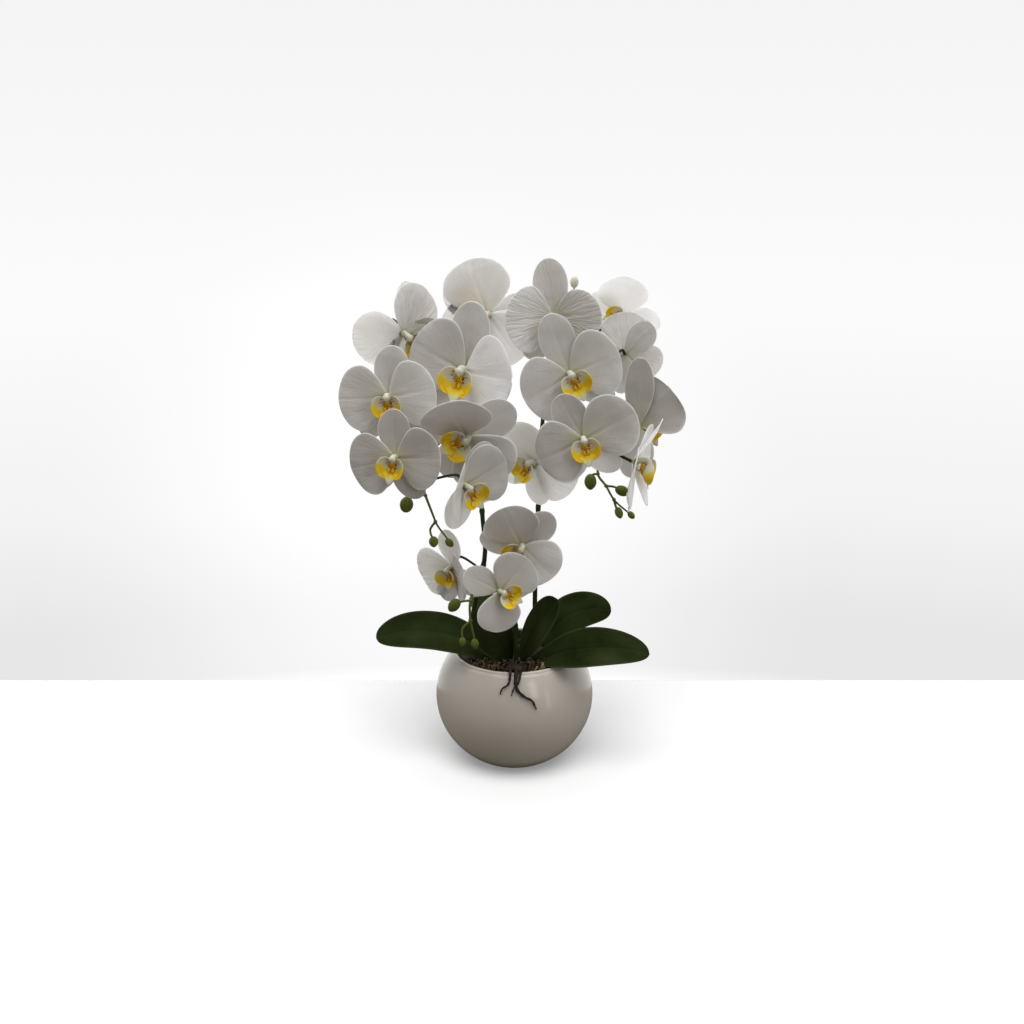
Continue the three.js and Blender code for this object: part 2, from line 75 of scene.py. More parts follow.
# at: middle of the flower; turn: facing right; nod: facing up; roll: clockwise;
# size: times the usual size; ribs: how strong its ribs are; bend: its own petals, as in USUAL.
FLOWERS = {
    "a01": dict(at=(-107, 10, 438), turn=40, nod=-22, roll=-44, size=0.98, ribs=1.4,
                bend={"left": (-66, -24, -6), "right": (74, -16, -6), "top": (68, -30, -6)}),
    "a02": dict(at=(-26, 40, 452), turn=-22, nod=0, roll=75, size=1.1, ribs=0.4,
                bend={"left": (-92, 12, -10), "right": (67, 5, -6), "top": (17, -55, -10),
                      "lowright": (180, -6, 4)}),
    "a03": dict(at=(-47, -20, 406), turn=-18, nod=4, roll=12, size=1.14, ribs=0.4,
                bend={"left": (-76, 4, -6), "right": (82, 26, -6), "top": (-6, -4, 6, 1.12)}),
    "a04": dict(at=(-117, -45, 386), turn=-5, nod=2, roll=-4, size=0.93, ribs=0.5,
                bend={"left": (-88, 8, -10), "right": (82, 14, -10), "top": (10, -4, 6)}),
    "a05": dict(at=(-109, -75, 335), turn=-12, nod=2, roll=8, size=0.88, ribs=0.45,
                bend={"left": (-112, 6, -10), "right": (78, 10, -10), "top": (-12, -4, 6)}),
    "a06": dict(at=(-44, -50, 350), turn=-10, nod=-10, roll=68, size=1.05, ribs=0.2,
                bend={"left": (-82, 34, -4), "right": (78, 5, -6), "top": (-12, -4, 6)}),
    "a07": dict(at=(-47, -85, 312), turn=35, nod=-8, roll=-34, size=0.92, ribs=0.5,
                bend={"left": (-56, 52, -10), "right": (98, 10, -6), "top": (80, -10, 4)}),
    "a08": dict(at=(20, 8, 309), turn=-36, nod=8, roll=32, size=0.92, ribs=0.4,
                bend={"left": (-70, 30, -10), "right": (62, 0, -6, 1.1), "lowright": (136, -6, 4, 0.9)}),
    "a09": dict(at=(-61, -20, 211), turn=-34, nod=-10, roll=-4, size=0.78, ribs=1.2,
                bend={"left": (-100, 14, -10), "right": (96, 36, 0), "lowleft": (-160, 10, 0)}),
    "a10": dict(at=(7, -45, 242), turn=-10, nod=-10, roll=56, size=0.86, ribs=0.4,
                bend={"top": (-14, -4, 6), "right": (76, 14, -6)}),
    "a11": dict(at=(-14, -75, 206), turn=26, nod=4, roll=-58, size=0.8, ribs=0.3,
                bend={"left": (-114, 4, -10, 1, 0.86), "right": (100, 12, -6), "top": (0, -4, 6)}),
    "b01": dict(at=(37, 4, 453), turn=0, nod=0, roll=-6, size=0.95, ribs=1.3,
                bend={"left": (-84, 24, -10), "right": (88, 26, -10, 1, 0.8), "top": (0, 0, 0, 1.15)}),
    "b02": dict(at=(52, -20, 403), turn=8, nod=0, roll=-26, size=1.0, ribs=0.35,
                bend={"left": (-92, 14, -10), "right": (92, 10, -10), "top": (6, -4, 6, 1.18)}),
    "b03": dict(at=(64, -55, 348), turn=0, nod=0, roll=-12, size=0.92, ribs=0.4,
                bend={"left": (-102, 14, -10), "right": (72, 10, -10, 1.18), "top": (-18, -4, 6)}),
    "b04": dict(at=(108, 72, 447), turn=-10, nod=0, roll=80, size=0.76, ribs=0.4,
                bend={"top": (25, -4, 6)}),
    "b05": dict(at=(109, 34, 414), turn=155, nod=0, roll=-43, size=0.8, ribs=0.8,
                bend={"left": (-88, 40, -6, 1, 0.85), "right": (58, 12, -6)}),
    "b06": dict(at=(120, 10, 347), turn=150, nod=0, roll=33, size=1.04, ribs=0.3,
                bend={"left": (-72, 4, -6), "top": (-36, -4, 6, 1.28, 0.85),
                      "lowleft": (-200, -20, 0), "lowright": (150, -20, 0)}),
    "b07": dict(at=(112, -57, 327), turn=80, nod=-6, roll=0, size=0.96, ribs=0.6,
                bend={"top": (0, 28, 0), "lowleft": (-165, 4, 0), "lowright": (165, 24, 0),
                      "left": (-110, 0, 0), "right": (90, 12, 0)}),
}

# How much thinner than usual a petal is: at 1 it is whitest and lets most light through,
# and below 0 it is thicker and greyer. The whiter and greyer base colour is painted light
# and painted shade set for each petal; the light let through is real translucency.
THIN_AND_PAINTED_LIGHT = {
    "a01": {"left": 1.0, "lowleft": 0.9, "top": 0.5, "right": 0.5},
    "a02": {"top": 0.5, "left": 0.6, "right": 0.9, "lowright": 1.0, "lowleft": 0.8},
    "a03": {"right": 0.8, "lowright": 0.6},
    "a04": {"right": 0.3},
    "a05": dict.fromkeys(FORMS, -0.33),
    "a07": {"lowleft": 0.8, "lowright": 0.8, "left": 0.3},
    "a08": {"left": 0.4, "right": 0.8, "lowright": 0.8, "lowleft": 0.8, "top": 0.3},
    "a09": {"left": 0.6, "top": 0.4},
    "a10": {"top": -0.2, "left": -0.2, "right": 0.2},
    "a11": {"top": -0.15, "left": -0.15, "right": -0.15},
    "b01": {"left": 0.4},
    "b03": {"top": -0.33, "left": -0.33, "right": -0.2, "lowright": 0.6, "lowleft": 0.5},
    "b04": {"top": 1.0, "left": 1.0, "right": 1.0, "lowleft": 0.8, "lowright": 0.8},
    "b05": {"left": 0.4, "right": 0.4},
    "b06": {"top": -0.33, "left": -0.2, "right": -0.1, "lowleft": -0.33, "lowright": -0.33},
    "b07": {"left": 0.7, "right": 0.7, "top": 0.7, "lowleft": 0.6, "lowright": 0.6},
}

# ---- Mesh helpers ----


def make_mesh(name, verts, faces, layers=None, smooth=True):
    """A mesh object from points in millimetres, with point layers: name -> (n, 3) values."""
    mesh = bpy.data.meshes.new(name)
    mesh.from_pydata((np.asarray(verts) * MM).tolist(), [], faces)
    for key, values in (layers or {}).items():
        layer = mesh.attributes.new(key, "FLOAT_VECTOR", "POINT")
        layer.data.foreach_set("vector", np.asarray(values, dtype=np.float32).ravel())
    if smooth:
        mesh.shade_smooth()
    mesh.validate()
    piece = bpy.data.objects.new(name, mesh)
    bpy.context.scene.collection.objects.link(piece)
    return piece


class Heap:
    """Gathers several bodies into one mesh, with the same point layers on each."""

    def __init__(self):
        self.verts, self.faces, self.layers, self.count = [], [], {}, 0

    def add(self, verts, faces, layers=None):
        verts = np.asarray(verts, dtype=float)
        for key, values in (layers or {}).items():
            self.layers.setdefault(key, []).append(np.asarray(values, dtype=float))
        self.verts.append(verts)
        self.faces.extend([[i + self.count for i in face] for face in faces])
        self.count += len(verts)

    def mesh(self, name, place=None):
        verts = np.concatenate(self.verts)
        if place is not None:
            verts = place(verts)
        layers = {key: np.concatenate(values) for key, values in self.layers.items()}
        return make_mesh(name, verts, self.faces, layers)


def shell(middle, normal, thick, layer):
    """Closed thin body from a grid of middle points: two skins and a rounded rim."""
    rows, columns = middle.shape[:2]
    size = rows * columns
    upper = (middle + normal * thick[..., None] / 2).reshape(-1, 3)
    lower = (middle - normal * thick[..., None] / 2).reshape(-1, 3)
    index = np.arange(size).reshape(rows, columns)
    a, b = index[:-1, :-1].ravel(), index[:-1, 1:].ravel()
    c, d = index[1:, 1:].ravel(), index[1:, :-1].ravel()
    faces = np.stack([a, b, c, d], 1).tolist()
    faces += (np.stack([d, c, b, a], 1) + size).tolist()
    loop = np.concatenate([index[0, :], index[1:, -1], index[-1, -2::-1]])
    loop = loop.tolist() + index[-2:0:-1, 0].tolist()
    edge = middle.reshape(-1, 3)[loop]
    centre = middle.reshape(-1, 3).mean(0)
    tangent = np.roll(edge, -1, 0) - np.roll(edge, 1, 0)
    outward = np.cross(tangent, normal.reshape(-1, 3)[loop])
    outward /= np.linalg.norm(outward, axis=1, keepdims=True) + 1e-9
    if ((edge - centre) * outward).sum() < 0:
        outward = -outward
    rim = edge + outward * thick.reshape(-1)[loop][:, None] * 0.45
    verts = np.concatenate([upper, lower, rim])
    count = len(loop)
    for k in range(count):
        here, after = loop[k], loop[(k + 1) % count]
        top, bottom = 2 * size + k, 2 * size + (k + 1) % count
        faces.append([after, here, top, bottom])
        faces.append([here + size, after + size, bottom, top])
    layers = {}
    for key, values in layer.items():
        flat = values.reshape(-1, 3)
        layers[key] = np.concatenate([flat, flat, flat[loop]])
    return verts, faces, layers


def grid_normals(middle):
    """Unit normals of a grid of points."""
    along = np.gradient(middle, axis=0)
    across = np.gradient(middle, axis=1)
    normal = np.cross(across, along)
    return normal / (np.linalg.norm(normal, axis=2, keepdims=True) + 1e-9)


def tube(points, radii, sides=12):
    """Closed round rod through the points, its ends drawn together."""
    points = np.asarray(points, dtype=float)
    count = len(points)
    ahead = np.gradient(points, axis=0)
    ahead /= np.linalg.norm(ahead, axis=1, keepdims=True) + 1e-9
    side = np.cross(ahead[0], [0.31, 0.17, 0.94])
    side /= np.linalg.norm(side)
    turns = np.linspace(0, 2 * math.pi, sides, endpoint=False)
    verts = []
    for k in range(count):
        side = side - ahead[k] * side.dot(ahead[k])
        side /= np.linalg.norm(side)
        other = np.cross(ahead[k], side)
        ring = points[k] + radii[k] * (np.outer(np.cos(turns), side) + np.outer(np.sin(turns), other))
        verts.append(ring)
    verts.append(points[:1] - ahead[:1] * radii[0] * 0.4)
    verts.append(points[-1:] + ahead[-1:] * radii[-1] * 0.6)
    faces = []
    for k in range(count - 1):
        for j in range(sides):
            after = (j + 1) % sides
            faces.append([k * sides + j, k * sides + after, (k + 1) * sides + after, (k + 1) * sides + j])
    first, last = count * sides, count * sides + 1
    for j in range(sides):
        after = (j + 1) % sides
        faces.append([after, j, first])
        faces.append([(count - 1) * sides + j, (count - 1) * sides + after, last])
    return np.concatenate(verts), faces


def smooth_path(points, count):
    """Catmull-Rom curve through the points, sampled evenly."""
    points = [np.asarray(p, dtype=float) for p in points]
    points = [2 * points[0] - points[1]] + points + [2 * points[-1] - points[-2]]
    fine = []
    for k in range(1, len(points) - 2):
        p0, p1, p2, p3 = points[k - 1:k + 3]
        for u in np.linspace(0, 1, 24, endpoint=False):
            fine.append(0.5 * (2 * p1 + (p2 - p0) * u + (2 * p0 - 5 * p1 + 4 * p2 - p3) * u * u
                               + (3 * p1 - p0 - 3 * p2 + p3) * u ** 3))
    fine.append(points[-2])
    fine = np.array(fine)
    reach = np.concatenate([[0], np.cumsum(np.linalg.norm(np.diff(fine, axis=0), axis=1))])
    spots = np.linspace(0, reach[-1], count)
    return np.stack([np.interp(spots, reach, fine[:, k]) for k in range(3)], 1)


def ring_faces(rings, around):
    """Faces of a closed body made of rings of points between a first and a last point."""
    faces = []
    for j in range(around):
        after = (j + 1) % around
        faces.append([0, 1 + after, 1 + j])
        for i in range(rings - 1):
            row = 1 + i * around
            faces.append([row + j, row + after, row + around + after, row + around + j])
        row = 1 + (rings - 1) * around
        faces.append([row + j, row + after, 1 + rings * around])
    return faces


def ball(radii, at, turn=(0, 0, 0), around=24, down=16, pinch=0.0):
    """Closed egg: radii along x, y, z, with its top drawn to a point by pinch."""
    verts = [[0, 0, -1]]
    for i in range(1, down):
        polar = math.pi * (1 - i / down)
        for j in range(around):
            angle = 2 * math.pi * j / around
            wide = math.sin(polar)
            high = math.cos(polar)
            narrow = 1 - pinch * max(0.0, high) ** 2
            verts.append([wide * narrow * math.cos(angle), wide * narrow * math.sin(angle), high])
    verts.append([0, 0, 1])
    verts = np.array(verts) * np.asarray(radii, dtype=float)
    spin = Matrix.Rotation(math.radians(turn[2]), 3, "Z") @ Matrix.Rotation(math.radians(turn[1]), 3, "Y")
    spin = spin @ Matrix.Rotation(math.radians(turn[0]), 3, "X")
    verts = verts @ np.array(spin).T + np.asarray(at, dtype=float)
    return verts, ring_faces(down - 1, around)


# ---- Flowers ----


def width_at(form, s):
    """Half the width of a petal, where s runs from 0 at its neck to 1 at its tip."""
    rise = np.sin(np.pi / 2 * np.clip(s / form["swell"], 0, 1)) ** form["round"]
    opening = form["half"] * (form["neck"] + (1 - form["neck"]) * rise)
    fall = np.clip((s - form["swell"]) / (1 - form["swell"]), 0, 1)
    return np.where(s < form["swell"], opening, form["half"] * np.sqrt(np.clip(1 - fall ** 2, 0, 1)))


def tepal(form, bend, rng, ribs=1.0, thin=0.0, rows=46, columns=45):
    """One petal or sepal in the flower's own frame, with ribs, waves and a soft fold."""
    angle, lift, curl = (math.radians(v) for v in bend[:3])
    stretch, widen = (*bend[3:], 1, 1)[:2]
    length = form["length"] * stretch
    curl = curl or math.radians(0.01)
    s = 1 - (1 - np.linspace(0, 1, rows)) ** 1.7
    s = np.clip(s, 0, 0.9985)
    t = np.sin(np.linspace(-1, 1, columns) * math.pi / 2) * 0.35 + np.linspace(-1, 1, columns) * 0.65
    s, t = np.meshgrid(s, t, indexing="ij")
    wide = width_at(form, s) * widen * t
    slope = lift + curl * s
    along = form["start"] + length * (np.sin(slope) - math.sin(lift)) / curl
    out = form["raise"] + length * (math.cos(lift) - np.cos(slope)) / curl
    fan = np.arctan2(wide, form["length"] * s + 5)
    reach = np.hypot(wide, form["length"] * s) / form["length"]
    fade = np.clip(reach * 2.2, 0, 1) * (1 - 0.55 * np.clip(reach - 0.75, 0, 1) * 4)
    fade = np.clip(fade, 0, 1)
    wobble = 0.16 * np.sin(5.0 * reach + rng.uniform(0, 6)) * np.sin(9 * fan + rng.uniform(0, 6))
    count = 21 if form["half"] > 25 else 15
    rib = np.sin(fan * count + wobble * 4) + 0.45 * np.sin(fan * count * 2.3 + rng.uniform(0, 6))
    relief = 0.13 * ribs * fade * rib
    broad = form["half"] / 33
    waves = 0.9 * broad * reach ** 2 * np.sin(6.2 * fan + rng.uniform(0, 6) + 2.2 * s)
    ripple = np.sin(4.3 * fan + rng.uniform(0, 6)) * np.sin(7 * reach + rng.uniform(0, 6))
    waves += 0.5 * broad * reach * ripple
    edge = np.clip(np.abs(t), 0, 1)
    curled = (-1.3 * edge ** 6 - 1.2 * np.clip(s - 0.8, 0, 1) * 5) * broad * rng.uniform(0.4, 1.2)
    crease = -0.9 * broad * np.exp(-(wide / 1.7) ** 2) * np.clip(1.2 - s, 0, 1)
    height = CUP * wide ** 2 / form["half"] + relief + waves + curled + crease
    along = along - height * np.sin(slope)
    out = out + height * np.cos(slope)
    middle = np.stack([
        along * math.sin(angle) + wide * math.cos(angle),
        along * math.cos(angle) - wide * math.sin(angle),
        out,
    ], 2)
    thick = 0.42 + 0.8 * (1 - edge ** 3) * (1 - 0.75 * s)
    # Mask of edges and tips, where the petal material paints a paler rim as painted light.
    rim = np.maximum(edge, np.clip((s - 0.55) / 0.45, 0, 1))
    strong = np.full(s.shape, 0.03 + 0.5 * ribs ** 1.5)
    # clear carries thinness: it whitens the base colour as painted light, greys it as painted shade, and sets
    # the real translucency.
    clear = np.full(s.shape, 0.25 + 0.75 * thin)
    layer = {"spot": np.stack([fan, reach, rim], 2), "rib": np.stack([strong, clear, s * 0], 2)}
    return shell(middle, grid_normals(middle), thick, layer)


def facing(flower):
    """The directions of a flower: its right, its up and outwards from its face."""
    turn, nod, roll = (math.radians(flower[key]) for key in ("turn", "nod", "roll"))
    out = np.array([math.sin(turn) * math.cos(nod), -math.cos(turn) * math.cos(nod), math.sin(nod)])
    lean = np.array([-math.sin(turn) * math.sin(nod), math.cos(turn) * math.sin(nod), math.cos(nod)])
    side = np.cross(lean, out)
    up = lean * math.cos(roll) + side * math.sin(roll)
    right = side * math.cos(roll) - lean * math.sin(roll)
    return right, up, out


def placer(flower):
    """Puts points of a flower's own frame where the flower stands."""
    axes = np.stack(facing(flower))
    at = np.array(flower["at"], dtype=float)
    return lambda verts: at + flower["size"] * (verts @ axes)


def perianth(name, flower):
    """The five petals of a flower and the small knot in its middle."""
    rng = random.Random(name)
    bend = {**USUAL, **flower.get("bend", {})}
    heap = Heap()
    for key, form in FORMS.items():
        ribs = flower["ribs"] * (0.6 if form is not PETAL else 1.0)
        heap.add(*tepal(form, bend[key], rng, ribs, THIN_AND_PAINTED_LIGHT.get(name, {}).get(key, 0.0)))
    verts, faces = ball((4.4, 4.4, 3.4), (0, 0, 0))
    nothing = np.zeros((len(verts), 3))
    heap.add(verts, faces, {"spot": nothing, "rib": nothing})
    return heap.mesh(f"perianth_{name}", placer(flower))


def side_lobe(hand):
    """Round side lobe of the lip: a shallow bowl open to the throat."""
    rows, columns = 23, 27
    v = np.linspace(0.0, 1, rows)
    u = np.linspace(-1, 1, columns)
    v, u = np.meshgrid(v, u, indexing="ij")
    high = np.sin((v - 0.5) * math.pi * 0.992)
    wide = np.sqrt(np.clip(1 - high ** 2 * 0.992, 0, 1)) * u
    x = wide * 9.6
    y = high * 11.2
    bowl = 0.045 * (x ** 2 + y ** 2) - 2.4 + 0.5 * np.sin(high * 2.4 + 1)
    tilt = math.radians(-34 * hand)
    px = x * math.cos(tilt) + bowl * math.sin(tilt)
    pz = -x * math.sin(tilt) + bowl * math.cos(tilt)
    inward = (7.8 + 0.09 * y) * hand
    middle = np.stack([px + inward, y - 8, pz + 13.3], 2)
    thick = 0.6 + 0.5 * (1 - np.abs(u) ** 3) * (1 - high ** 4)
    outer = x * hand / 9.6
    low = np.clip(0.34 - 0.85 * high + 0.42 * outer, 0, 1)
    layer = {"spot": np.stack([low, low, low], 2)}
    return shell(middle, grid_normals(middle), thick, layer)


def middle_lobe():
    """Middle lobe pointing forward and down, widest at its two side points."""
    rows, columns = 34, 17
    s, t = np.meshgrid(np.linspace(0, 1, rows), np.linspace(-1, 1, columns), indexing="ij")
    half = np.interp(s, [0, 0.3, 0.52, 0.66, 0.84, 1.0], [3.6, 4.4, 8.2, 5.6, 3.2, 0.9])
    lift = math.radians(56)
    curl = math.radians(-46)
    slope = lift + curl * s
    along = 8 + 21 * (np.sin(slope) - math.sin(lift)) / curl
    out = 5 + 21 * (math.cos(lift) - np.cos(slope)) / curl
    wide = half * t
    out = out + 0.05 * wide ** 2 + 1.2 * np.exp(-(wide / 1.3) ** 2) * (1 - s)
    middle = np.stack([-wide, -along, out], 2)
    thick = 0.6 + 1.6 * (1 - np.abs(t) ** 2) * (1 - 0.8 * s)
    low = np.clip(1.6 - 1.7 * s, 0, 1)
    layer = {"spot": np.stack([low, low, low], 2)}
    return shell(middle, grid_normals(middle), thick, layer)


def lip(name, flower):
    """The lip: two side lobes, a middle lobe, and the swellings in its throat."""
    heap = Heap()
    heap.add(*side_lobe(-1))
    heap.add(*side_lobe(1))
    heap.add(*middle_lobe())
    for at, radii in (((-1.8, -11.2, 12.6), (1.7, 2.8, 2.2)), ((1.8, -11.2, 12.6), (1.7, 2.8, 2.2)),
                      ((0, -5, 9), (4.8, 6.6, 3.4))):
        verts, faces = ball(radii, at, around=20, down=14)
        heap.add(verts, faces, {"spot": np.full((len(verts), 3), 0.9)})
    flat = np.concatenate(heap.verts)
    angle = np.arctan2(flat[:, 0], -(flat[:, 1] + 3.5))
    reach = np.hypot(flat[:, 0], flat[:, 1] + 3.5) / 10
    heap.layers["throat"] = [np.stack([angle, reach, reach], 1)]
    return heap.mesh(f"lip_{name}", placer(flower))


def column(name, flower):
    """Pale column over the throat with its rounded cap."""
    heap = Heap()
    path = smooth_path([(0, 1.0, 2), (0, 2.6, 6.5), (0, 2.8, 10.5), (0, 1.6, 13.2)], 20)
    heap.add(*tube(path, np.interp(np.linspace(0, 1, 20), [0, 0.5, 1], [3.2, 2.6, 3.2]), 16))
    heap.add(*ball((3.9, 3.5, 2.9), (0, 0.9, 13.4), (20, 0, 0)))
    heap.add(*ball((1.3, 1.1, 1.3), (0, -2.1, 13.9), around=12, down=8))
    return heap.mesh(f"column_{name}", placer(flower))


# ---- Leaves ----
LEAVES = {
    "leaf_left": dict(root=(-16, -14, 114), elbow=(-76, -20, 158), tip=(-137, -26, 139), half=29, lean=-22),
    "leaf_front_left": dict(root=(-6, -30, 114), elbow=(-16, -32, 148), tip=(-44, -30, 164), half=22,
                            lean=-50),
    "leaf_upright": dict(root=(6, -18, 114), elbow=(20, -26, 148), tip=(42, -30, 181), half=23, lean=40),
    "leaf_right_back": dict(root=(28, 12, 118), elbow=(56, 14, 164), tip=(98, 12, 153), half=27, lean=26),
    "leaf_right_front": dict(root=(18, -28, 114), elbow=(72, -40, 143), tip=(132, -46, 130), half=29,
                             lean=20),
    "leaf_back": dict(root=(-8, 26, 114), elbow=(-22, 60, 150), tip=(-34, 108, 136), half=24, lean=0),
}


def rotate_about(vectors, axes, angle):
    """Turn vectors about unit axes by an angle in radians."""
    cosine, sine = math.cos(angle), math.sin(angle)
    dots = (vectors * axes).sum(-1, keepdims=True)
    return vectors * cosine + np.cross(axes, vectors) * sine + axes * dots * (1 - cosine)


def leaf(name, root, elbow, tip, half, lean):
    """A strap leaf that bends from root over elbow to tip, keeled along its midrib."""
    rng = random.Random(name)
    rows, columns = 60, 31
    root, elbow, tip = (np.array(p, dtype=float) for p in (root, elbow, tip))
    s1 = np.clip(1 - (1 - np.linspace(0, 1, rows)) ** 1.5, 0, 0.9995)
    s, t = np.meshgrid(s1, np.linspace(-1, 1, columns), indexing="ij")
    k = s[..., None]
    rib = root * (1 - k) ** 2 + 2 * elbow * k * (1 - k) + tip * k ** 2
    ahead = 2 * (elbow - root) * (1 - k) + 2 * (tip - elbow) * k
    ahead /= np.linalg.norm(ahead, axis=2, keepdims=True)
    across = np.cross(ahead, [0, 0, 1])
    across /= np.linalg.norm(across, axis=2, keepdims=True)
    above = np.cross(across, ahead)
    across = rotate_about(across, ahead, math.radians(lean))
    above = rotate_about(above, ahead, math.radians(lean))
    neck = 0.3 + 0.7 * np.sin(np.pi / 2 * np.minimum(1, s / 0.5))
    blunt = np.sqrt(np.clip(1 - np.clip((s - 0.5) / 0.5, 0, 1) ** 2.1, 0, 1))
    wide = half * neck * blunt * t
    wave = 0.8 * np.sin(7 * s + rng.uniform(0, 6)) * t ** 2 * np.sign(t)
    groove = -1.1 * np.exp(-(wide / 1.6) ** 2) * (1 - 0.7 * s)
    veins = 0.05 * np.cos(wide * 1.25) * np.clip(1 - np.abs(t) ** 4, 0, 1)
    height = 0.1 * np.abs(wide) + wave + groove + veins
    middle = rib + across * wide[..., None] + above * height[..., None]
    thick = 0.5 + 1.5 * (1 - np.abs(t) ** 2.5) * (1 - 0.4 * s)
    layer = {"spot": np.stack([t, s, s], 2)}
    return make_mesh(name.replace("leaf", "blade"), *shell(middle, grid_normals(middle), thick, layer))


# ---- Stems and sprays ----
SPIKE_LEFT = [
    (-38, 4, 100), (-42, 6, 150), (-30, 10, 212), (-32, 16, 252), (-38, 28, 320),
    (-48, 42, 390), (-62, 46, 418), (-76, 40, 404), (-86, 18, 370), (-90, -14, 330),
    (-88, -40, 303),
]
SPIKE_RIGHT = [
    (22, 22, 100), (21, 20, 170), (24, 24, 264), (27, 32, 336),
    (36, 44, 400), (54, 46, 436), (78, 36, 424), (94, 16, 392), (96, 0, 356),
    (100, -15, 331),
]
STEM_SHORT = [(0, -32, 100), (2, -32, 130), (1, -30, 158), (-2, -25, 184)]


def pedicel_path(spots, flower):
    """Stalk from the nearest place on the spike to the back of a flower."""
    out = facing(flower)[2]
    at = np.array(flower["at"], dtype=float)
    target = at - out * 14 - np.array([0, 0, 10])
    near = spots[np.argmin(np.linalg.norm(spots - target, axis=1))]
    back = at - out * (3.2 * flower["size"])
    return smooth_path([near, at - out * 14 + np.array([0, 3, 4]), back], 22)


def spike(name, points, flowers):
    """A stem with swollen joints, small bracts and a stalk to each of its flowers."""
    heap = Heap()
    path = smooth_path(points, 160)
    ages = np.linspace(0, 1, 160)
    radii = SPIKE_RADIUS * (1 - 0.4 * ages)
    length = np.linalg.norm(np.diff(path, axis=0), axis=1).sum()
    for place in np.arange(48, length, 56):
        radii = radii + 0.75 * np.exp(-((ages * length - place) / 2.4) ** 2)
    heap.add(*tube(path, radii, 16))
    for place in np.arange(48, length * 0.6, 56):
        k = int(place / length * 159)
        ahead = path[k + 1] - path[k]
        ahead /= np.linalg.norm(ahead)
        bract = [path[k], path[k] + ahead * 5 + [0.9, -1.1, 0], path[k] + ahead * 9 + [1.9, -2.2, 0]]
        heap.add(*tube(smooth_path(bract, 12), np.linspace(radii[k] * 0.96, 0.4, 12), 12))
    for key in flowers:
        stalk = pedicel_path(path, FLOWERS[key])
        fat = PEDICEL_RADIUS * (0.85 + 0.35 * np.linspace(0, 1, len(stalk)) ** 3)
        heap.add(*tube(stalk, fat, 10))
    return heap.mesh(name)


def bud(at, long, wide, tilt, rng):
    """A closed green bud with three faint seams."""
    verts, faces = ball((wide, wide, long), (0, 0, 0), pinch=0.25, around=30, down=20)
    angle = np.arctan2(verts[:, 1], verts[:, 0])
    height = verts[:, 2] / long
    seam = 1 - 0.05 * np.abs(np.cos(1.5 * angle + rng.uniform(0, 3))) ** 8 * (1 - height ** 2)
    verts[:, 0] *= seam
    verts[:, 1] *= seam
    spin = np.array(Matrix.Rotation(math.radians(tilt), 3, "Y"))
    return verts @ spin.T + np.array(at), faces


def spray(name, main, shoots, buds):
    """A twig with side shoots and closed buds."""
    rng = random.Random(name)
    heap = Heap()
    path = smooth_path(main, 60)
    radii = TWIG_RADIUS * (1.1 - 0.45 * np.linspace(0, 1, 60))
    heap.add(*tube(path, radii, 12))
    thin = TWIG_RADIUS * np.linspace(0.95, 0.75, 24)
    for shoot in shoots:
        near = path[np.argmin(np.linalg.norm(path - np.array(shoot[0]), axis=1))]
        heap.add(*ball((1.9, 1.9, 1.9), near, around=12, down=8))
        heap.add(*tube(smooth_path(shoot, 24), thin, 10))
    for at, long, wide, tilt in buds:
        heap.add(*bud(at, long, wide, tilt, rng))
    return heap.mesh(name)


SPRAYS = {
    "bud_spray_left": (
        [(-87, -43, 299), (-84, -50, 292), (-77, -54, 274), (-73, -54, 264), (-63, -54, 250)],
        [[(-84, -50, 293), (-94, -52, 293), (-101, -54, 288)],
         [(-75, -54, 268), (-80, -54, 260), (-78, -54, 251)]],
        [((-102, -54, 285), 8, 6.6, 10), ((-77, -54, 248), 5.5, 4.6, 180), ((-62, -54, 247), 5, 3.6, 140)],
    ),
    "bud_spray_right": (
        [(98, -19, 328), (83, -22, 323), (80, -24, 307), (88, -24, 295), (97, -24, 280), (112, -25, 267)],
        [[(80, -24, 307), (75, -24, 306), (73, -24, 300)],
         [(88, -24, 295), (96, -24, 294), (103, -24, 290)],
         [(96, -24, 281), (98, -24, 274), (101, -24, 268)]],
        [((73, -24, 299), 8, 6, 180), ((104, -24, 290), 7.5, 5.2, 110), ((101, -24, 268), 6, 4, 160),
         ((113, -25, 266), 4.5, 3.2, 140)],
    ),
    "bud_spray_low": (
        [(-41, -54, 195), (-43, -60, 185), (-42, -64, 170), (-38, -66, 152)],
        [[(-42, -57, 190), (-50, -60, 190), (-57, -60, 187)],
         [(-42, -64, 172), (-50, -65, 164), (-50, -66, 153)]],
        [((-58, -60, 186), 7.5, 5.6, 220), ((-38, -66, 149), 5, 3.8, 170),
         ((-50, -66, 151), 4.5, 3.4, 180)],
    ),
}


def top_bud():
    """The half-open bud at the top, on its own short stalk."""
    heap = Heap()
    heap.add(*tube(smooth_path([(57, 38, 442), (57, 30, 462), (57, 22, 480)], 24), np.full(24, 1.1), 10))
    heap.add(*ball((4.2, 4.2, 6.2), (57, 21, 485), pinch=0.2))
    return heap.mesh("bud_pale")


# ---- Pot, bark and roots ----


def bowl_radius(height):
    """Outer radius of the bowl at a height."""
    level = (height - POT_BELT) / (POT_RADIUS * POT_BULGE)
    return POT_RADIUS * math.sqrt(max(0.0, 1 - level * level))


def lathe(name, profile, around=160):
    """A closed body turned about Z from a profile that starts and ends on the axis."""
    profile = np.asarray(profile, dtype=float)
    turns = np.linspace(0, 2 * math.pi, around, endpoint=False)
    inner = profile[1:-1]
    verts = [[0, 0, profile[0, 1]]]
    for radius, height in inner:
        verts += [[radius * math.cos(a), radius * math.sin(a), height] for a in turns]
    verts.append([0, 0, profile[-1, 1]])
    return make_mesh(name, verts, ring_faces(len(inner), around))


